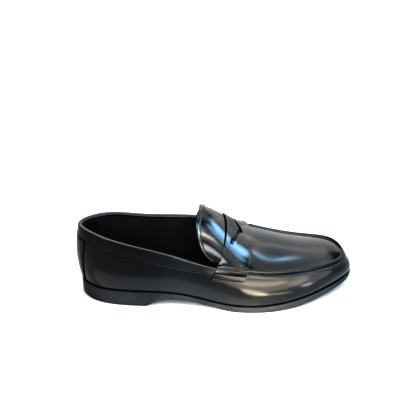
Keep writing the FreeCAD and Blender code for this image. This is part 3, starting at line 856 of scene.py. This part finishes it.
def on_band(U, V, out):
    t = round_opening(U, BAND_END * (1 - V) + BAND_DROP * V)
    low, high = band_low(t), below_top(t, BAND_DROP)
    return raised(wall, t, low + (high - low) * V, out)


def band_relief(U, V, base):
    return -0.22 * ridge(V, BAND_ROW, STITCH_GROOVE / BAND_SPAN)


collar = slab("collar_band_leather", on_band, band_u, steps(BAND_SPAN, 0.8), 0.1, 1.15, TRIM,
              edge=0.45, relief=band_relief, round_ends=False)


def build_binding():
    """The rolled binding of the opening: a rounded top with a leg down each side."""
    t = round_opening(band_u, 1.0)
    angle = np.linspace(0, math.pi, 13)
    out = np.concatenate([[1.3, 1.33], -1.05 + 2.4 * np.cos(angle), [-3.45, -3.4, -3.3, 1.15]])
    drop = np.concatenate([[2.3, 1.6], 0.75 - 0.8 * np.sin(angle), [1.6, 2.3, 2.35, 2.35]])
    T, out = np.meshgrid(t, out, indexing="ij")
    return sweep("topline_binding_leather", raised(wall, T, below_top(T, drop), out), TRIM)


binding = build_binding()


def seam_on(place, out, u=None, v=None):
    """A seam's points and normals along a panel, at a fixed u or at a fixed v."""
    s = np.linspace(0.006, 0.994, 400)[:, None]
    U = s if u is None else np.full(s.shape, u)
    V = s if v is None else np.full(s.shape, v)
    points = place(U, V, np.full(s.shape, out))[:, 0]
    lifted = place(U, V, np.full(s.shape, out + 0.5))[:, 0]
    return points, unit(lifted - points)


collar_threads = stitches("collar_threads", [seam_on(on_band, 1.12, v=BAND_ROW)],
                          pitch=2.8, length=2.0, radius=0.32, material=THREAD)


def on_backstay(U, V, out):
    t = (2 * U - 1) * (0.62 + 0.40 * V)
    low, high = 0.02, band_low(t) - 0.006
    return raised(wall, t, low + (high - low) * V, out)


def backstay_relief(U, V, base):
    return -0.2 * ridge(np.minimum(U, 1 - U), BACKSTAY_ROWS[0], STITCH_GROOVE / BACKSTAY_SPAN)


backstay = slab("backstay_leather", on_backstay, steps(BACKSTAY_SPAN, 0.9), np.linspace(0, 1, 60), 0.1, 1.2,
                TRIM, relief=backstay_relief)
backstay_threads = stitches("backstay_threads", [seam_on(on_backstay, 1.15, u=row) for row in BACKSTAY_ROWS],
                            pitch=2.8, length=2.0, radius=0.32, material=THREAD)

# The quarter's lining ends at this station on each side, and the vamp's begins just in front of it
LINING_JOIN = 5.5
vamp_start = LINING_JOIN + 0.03
lining_u = np.linspace(0, 1, 260)
quarter = slab("quarter_lining_leather", on(wall, -LINING_JOIN, LINING_JOIN, 0.03, lining_top),
               lining_u, steps(60, 1.5, 0.3), LINING_IN, LINING_OUT, LINING)
vamp_lining = slab("vamp_lining_leather", on(wall, vamp_start, STATIONS - vamp_start, 0.04, lining_top),
                   lining_u, steps(50, 1.5, 0.3), LINING_IN, LINING_OUT, LINING)
apron_lining = slab("apron_lining_leather", on(top, 5.62, 9.55, 0.05, 0.95), np.linspace(0, 1, 120),
                    steps(70, 1.5, 0.3), *TOP_LINING, LINING)
grip_out = LINING_IN - 0.2
grip = slab("heel_grip_suede", on(wall, -1.4, 1.4, 0.35, 0.9), steps(50, 1.0), steps(45, 1.2),
            grip_out - 0.8, grip_out, SUEDE)

# The moccasin seam's thread lies in the groove under the lip
seam_t = np.linspace(6.15, STATIONS - 6.15, 900)
seam_v = below_top(seam_t, 0.45)
moccasin_seam = (raised(wall, seam_t, seam_v, np.full(seam_t.shape, -0.35)), normal(wall, seam_t, seam_v))
seam_threads = stitches("seam_threads", [moccasin_seam],
                        pitch=PLEAT, length=2.5, radius=0.34, material=THREAD)

# ------------------------------------------------------------------ the sole and the sock liner
# Shares from the middle line to the outline, closer towards the outline
RINGS = np.array([0, 0.12, 0.25, 0.38, 0.5, 0.6, 0.7, 0.78, 0.85, 0.9, 0.94, 0.965, 0.98, 0.99, 0.996, 1.0])


def spine(t):
    """The point of the sole's middle line between two facing stations, seen from above."""
    heel_end, toe_end = 34, 262
    x = np.clip((feather_loop(t)[..., 0] + feather_loop(STATIONS - t)[..., 0]) / 2, heel_end, toe_end)
    return np.stack([x, 12.0 * ease((x - 120) / 110)], -1)


def plate(t, out, shares, height):
    """Rings of points from the middle line to the outline moved out; height(x, share) gives z."""
    edge = feather_point(t, out)[..., None, :2]
    middle = spine(t)[..., None, :]
    xy = middle + (edge - middle) * shares[:, None]
    z = height(xy[..., 0], np.broadcast_to(shares, xy.shape[:-1]))
    return np.concatenate([xy, z[..., None]], -1)


def closed_plate(name, bottom, side, top_rings, material):
    """A solid whose rings run from the middle of the bottom, up the side, to the middle of the top."""
    rings = np.concatenate([bottom] + side + [top_rings[:, ::-1]], 1)
    faces = quads(*rings.shape[:2], wrap_rows=True)
    return edit(finish_mesh(name, rings, faces, material), join_doubles, turn_outwards)


# Stations round the outline, each with a facing one, and how far the sole stands out past the feather line
half_t = TOE * loop_lines(0, TOE, even_step(1.2))
loop_t = np.concatenate([half_t, STATIONS - half_t[-2:0:-1]])
LEDGE = 2.0


def sole_side(out, z):
    """One ring round the sole's side; z(x) is its height."""
    p = feather_point(loop_t, out)
    p[:, 2] = z(p[:, 0])
    return p[:, None, :]


def build_sole():
    bottom = plate(loop_t, LEDGE - 0.9, RINGS, lambda x, share: sole_bottom(x))
    sides = [
        sole_side(LEDGE - 0.45, lambda x: sole_bottom(x) + 0.12),
        sole_side(LEDGE - 0.12, lambda x: sole_bottom(x) + 0.45),
        sole_side(LEDGE, lambda x: sole_bottom(x) + 0.95),
    ]
    for share in (0.25, 0.5, 0.75):
        sides.append(sole_side(LEDGE, lambda x, s=share: sole_bottom(x) * (1 - s) + feather_height(x) * s))
    sides += [
        sole_side(LEDGE, lambda x: feather_height(x) - 0.8),
        sole_side(LEDGE - 0.12, lambda x: feather_height(x) - 0.35),
        sole_side(LEDGE - 0.45, lambda x: feather_height(x) - 0.05),
        sole_side(LEDGE - 0.9, lambda x: feather_height(x)),
    ]
    inner = plate(loop_t, LEDGE - 1.2, RINGS, lambda x, share: feather_height(x))
    return closed_plate("outsole_rubber", bottom, sides, inner, RUBBER)


sole = build_sole()
# The sock's outline lies this far out from the feather line, and its underside this far over it
INSIDE, SOCK_HEIGHT = LINING_IN - 0.25, 2.3


def pad_rise(x):
    """How far the foam pad lifts the sock under the heel."""
    return 2.7 * (1 - ease((x - 55) / 40))


def build_sock():
    def low(x, share):
        return feather_height(x) + SOCK_HEIGHT + pad_rise(x)

    def high(x, share):
        return low(x, share) + 1.2 - 0.3 * np.clip((share - 0.985) / 0.015, 0, 1) ** 2

    bottom = plate(loop_t, INSIDE - 0.45, RINGS, low)
    upper = plate(loop_t, INSIDE - 0.35, RINGS, high)
    return closed_plate("sock_liner_leather", bottom, [], upper, LINING)


sock = build_sock()


def on_pad(U, V, out):
    """The pad reaches across the heel; out runs from 0 at its underside to 1 on top."""
    front, edge = 3.3, INSIDE - 3.0
    t = front * U
    low, high = feather_point(t, edge), feather_point(STATIONS - t, edge)
    p = low + (high - low) * V[..., None]
    x = p[..., 0]
    p[..., 2] = feather_height(x) + SOCK_HEIGHT + (pad_rise(x) - 0.2) * out
    return p


pad = slab("heel_pad_foam", on_pad, np.linspace(0.004, 1, 60), steps(45, 1.2), 0.0, 1.0, FOAM)

# ------------------------------------------------------------------ what stands for what
# (piece, material slot, the CAD nodes it replaces): first the pieces on the shoe's body, then the tongue's
# pieces, which are not attached to a body
SHOE = [
    (skirt, "upper_leather", ["skirt"]), (apron, "upper_leather", ["apron"]),
    (strap, "upper_leather", ["penny_strap"]), (strap_threads, "thread", ["strap_stitches"]),
    (collar, "trim_leather", ["collar_band"]), (binding, "trim_leather", ["topline_binding"]),
    (collar_threads, "thread", ["collar_stitches"]), (backstay, "trim_leather", ["backstay"]),
    (backstay_threads, "thread", ["backstay_stitches"]), (quarter, "lining_leather", ["quarter_lining"]),
    (grip, "suede", ["heel_grip"]), (seam_threads, "thread", ["moc_seam_thread"]),
    (sole, "sole_rubber", ["outsole_unit"]), (sock, "lining_leather", ["sock_liner"]),
    (vamp_lining, "lining_leather", ["vamp_lining"]), (apron_lining, "lining_leather", ["apron_lining"]),
    (pad, "foam", ["heel_pad"]),
]
FLAP = [
    (tongue, "upper_leather", ["tongue"]), (tongue_lining, "lining_leather", ["tongue_lining"]),
    (tongue_binding, "trim_leather", ["tongue_binding"]), (tongue_threads, "thread", ["tongue_stitches"]),
]
for piece, finish, nodes in SHOE:
    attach(piece, "shoe")
for piece, finish, nodes in FLAP:
    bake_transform(piece)
for piece, finish, nodes in SHOE + FLAP:
    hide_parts(*nodes)
# CAD nodes that keep their own shape
KEPT = {
    "heel_counter": STIFF, "toe_puff": STIFF, "insole_board": FIBRE, "shank": STEEL, "bottom_filler": CORK,
}
for node, finish in KEPT.items():
    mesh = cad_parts[node].data
    mesh.materials.clear()
    mesh.materials.append(finish)

# ------------------------------------------------------------------ floor, light and camera
world = bpy.data.worlds.new("studio")
bpy.context.scene.world = world
world.use_nodes = True
world.node_tree.nodes["Background"].inputs["Color"].default_value = (1, 1, 1, 1)
world.node_tree.nodes["Background"].inputs["Strength"].default_value = 0.30

floor_mesh = bpy.data.meshes.new("floor")
bm = bmesh.new()
bmesh.ops.create_grid(bm, x_segments=8, y_segments=8, size=3.0)
bm.to_mesh(floor_mesh)
bm.free()
floor = bpy.data.objects.new("floor", floor_mesh)
bpy.context.scene.collection.objects.link(floor)
floor_mesh.materials.append(material("floor_paper", (0.50, 0.50, 0.50), 0.9, specular=0.05, tint=(3, 0.01)))


def area_light(name, at, to, size, radiance, color, turn=0.0, spread=None):
    """An oval lamp at a point, facing another.

    radiance sets its strength; turn is its roll and spread the cone it shines in, both in degrees.
    """
    lamp = bpy.data.lights.new(name, "AREA")
    lamp.shape, lamp.size, lamp.size_y = "ELLIPSE", size[0], size[1]
    area = math.pi / 4 * size[0] * size[1]
    lamp.energy, lamp.color = radiance * math.pi * area, color
    if spread:
        # A narrower cone needs less power to look as bright
        half = math.radians(spread) / 2
        lamp.spread = 2 * half
        lamp.energy *= 1 - half / math.tan(half)
    holder = bpy.data.objects.new(name, lamp)
    bpy.context.scene.collection.objects.link(holder)
    holder.location = at
    holder.rotation_mode = "QUATERNION"
    aimed = (Vector(to) - Vector(at)).to_track_quat("-Z", "Y")
    holder.rotation_quaternion = aimed @ Quaternion((0, 0, 1), math.radians(turn))


# The large lamps light the floor and the shoe. The others are small and near: each makes one highlight of the
# photograph, from the place where the leather mirrors it.
WHITE, BLUE, PALE_BLUE = (1, 1, 1), (0.42, 0.72, 1.0), (0.62, 0.85, 1.0)
CREAM, WARM = (1.0, 0.90, 0.66), (1.0, 0.94, 0.84)
area_light("key", (0.10, -0.55, 1.75), (0.0, 0.0, 0.0), (0.56, 0.56), 7.5, WHITE)
area_light("overhead", (0.2, 0.5, 1.6), (0.1, 0.1, 0.0), (3.1, 2.1), 1.9, WHITE)
area_light("back", (0.2, 1.6, 0.75), (0.0, 0.0, 0.1), (2.9, 1.7), 1.7, WHITE)
area_light("window_strap", (0.345, -0.022, 0.302), (0.02, -0.02, 0.068), (0.22, 0.145), 23, BLUE, spread=70)
area_light("window_tongue", (0.31, -0.190, 0.335), (0.0, -0.025, 0.085), (0.18, 0.18), 13, BLUE, spread=70)
area_light("window_apron", (0.132, 0.034, 0.200), (0.132, 0.034, 0.0), (0.078, 0.019), 12, BLUE, turn=36)
area_light("rim", (-0.018, -0.086, 0.116), (-0.018, -0.028, 0.091), (0.085, 0.036), 14, PALE_BLUE, turn=56)
area_light("strap_soft", (0.136, 0.060, 0.141), (0.020, -0.013, 0.080), (0.10, 0.10), 2.6, WHITE, spread=70)
area_light("crest", (0.020, -0.108, 0.121), (0.018, -0.043, 0.057), (0.065, 0.016), 15, WARM)
area_light("front", (-0.013, -0.114, 0.070), (-0.010, -0.036, 0.070), (0.058, 0.022), 13, WHITE)
area_light("front_soft", (0.124, -0.276, 0.207), (0.012, -0.036, 0.066), (0.28, 0.22), 2.2, WHITE)
area_light("glow", (-0.065, -0.056, 0.001), (-0.065, -0.056, 1.0), (0.230, 0.050), 0.68, WHITE)
area_light("left", (-0.36, -0.30, 0.30), (-0.02, -0.03, 0.09), (0.18, 0.22), 13, WHITE)
area_light("room", (0.085, -0.115, 0.027), (0.085, -0.050, 0.027), (0.200, 0.047), 3.8, WARM)
area_light("room_toe", (0.163, -0.090, 0.018), (0.100, -0.035, 0.035), (0.110, 0.036), 2.3, WHITE)
area_light("tab", (0.050, -0.086, 0.034), (0.050, -0.050, 0.034), (0.100, 0.008), 7, CREAM)
area_light("card", (0.044, -0.082, 0.0145), (0.044, -0.050, 0.0145), (0.042, 0.012), 10.5, CREAM, turn=-16)
area_light("card_low", (0.070, -0.080, 0.0090), (0.066, -0.050, 0.0090), (0.070, 0.005), 6, CREAM, turn=-8)
area_light("streak", (0.138, -0.076, 0.007), (0.098, -0.039, 0.030), (0.024, 0.006), 11, WHITE)

# The photograph's tones: deep shadows, and a floor that is pure white
view = bpy.context.scene.view_settings
view.view_transform = "Standard"
view.use_curve_mapping = True
tones = view.curve_mapping
for x, y in ((0.05, 0.01), (0.12, 0.07), (0.24, 0.24), (0.42, 0.56), (0.63, 1.0)):
    tones.curves[3].points.new(x, y)
for point in tones.curves[3].points:
    point.handle_type = "AUTO_CLAMPED"
tones.extend = "HORIZONTAL"
tones.update()

# The photograph's camera
AIM = Vector((0.1404, 0, 0.1053)) - Vector(SHIFT * 0.001)
ELEVATION, DISTANCE = math.radians(33), 0.7866
camera_data = bpy.data.cameras.new("camera")
camera_data.lens, camera_data.sensor_width = 65, 36
camera = bpy.data.objects.new("camera", camera_data)
bpy.context.scene.collection.objects.link(camera)
back = Vector((0, -math.cos(ELEVATION), math.sin(ELEVATION)))
camera.location = AIM + back * DISTANCE
camera.rotation_mode = "QUATERNION"
camera.rotation_quaternion = (-back).to_track_quat("-Z", "Y")
bpy.context.scene.camera = camera
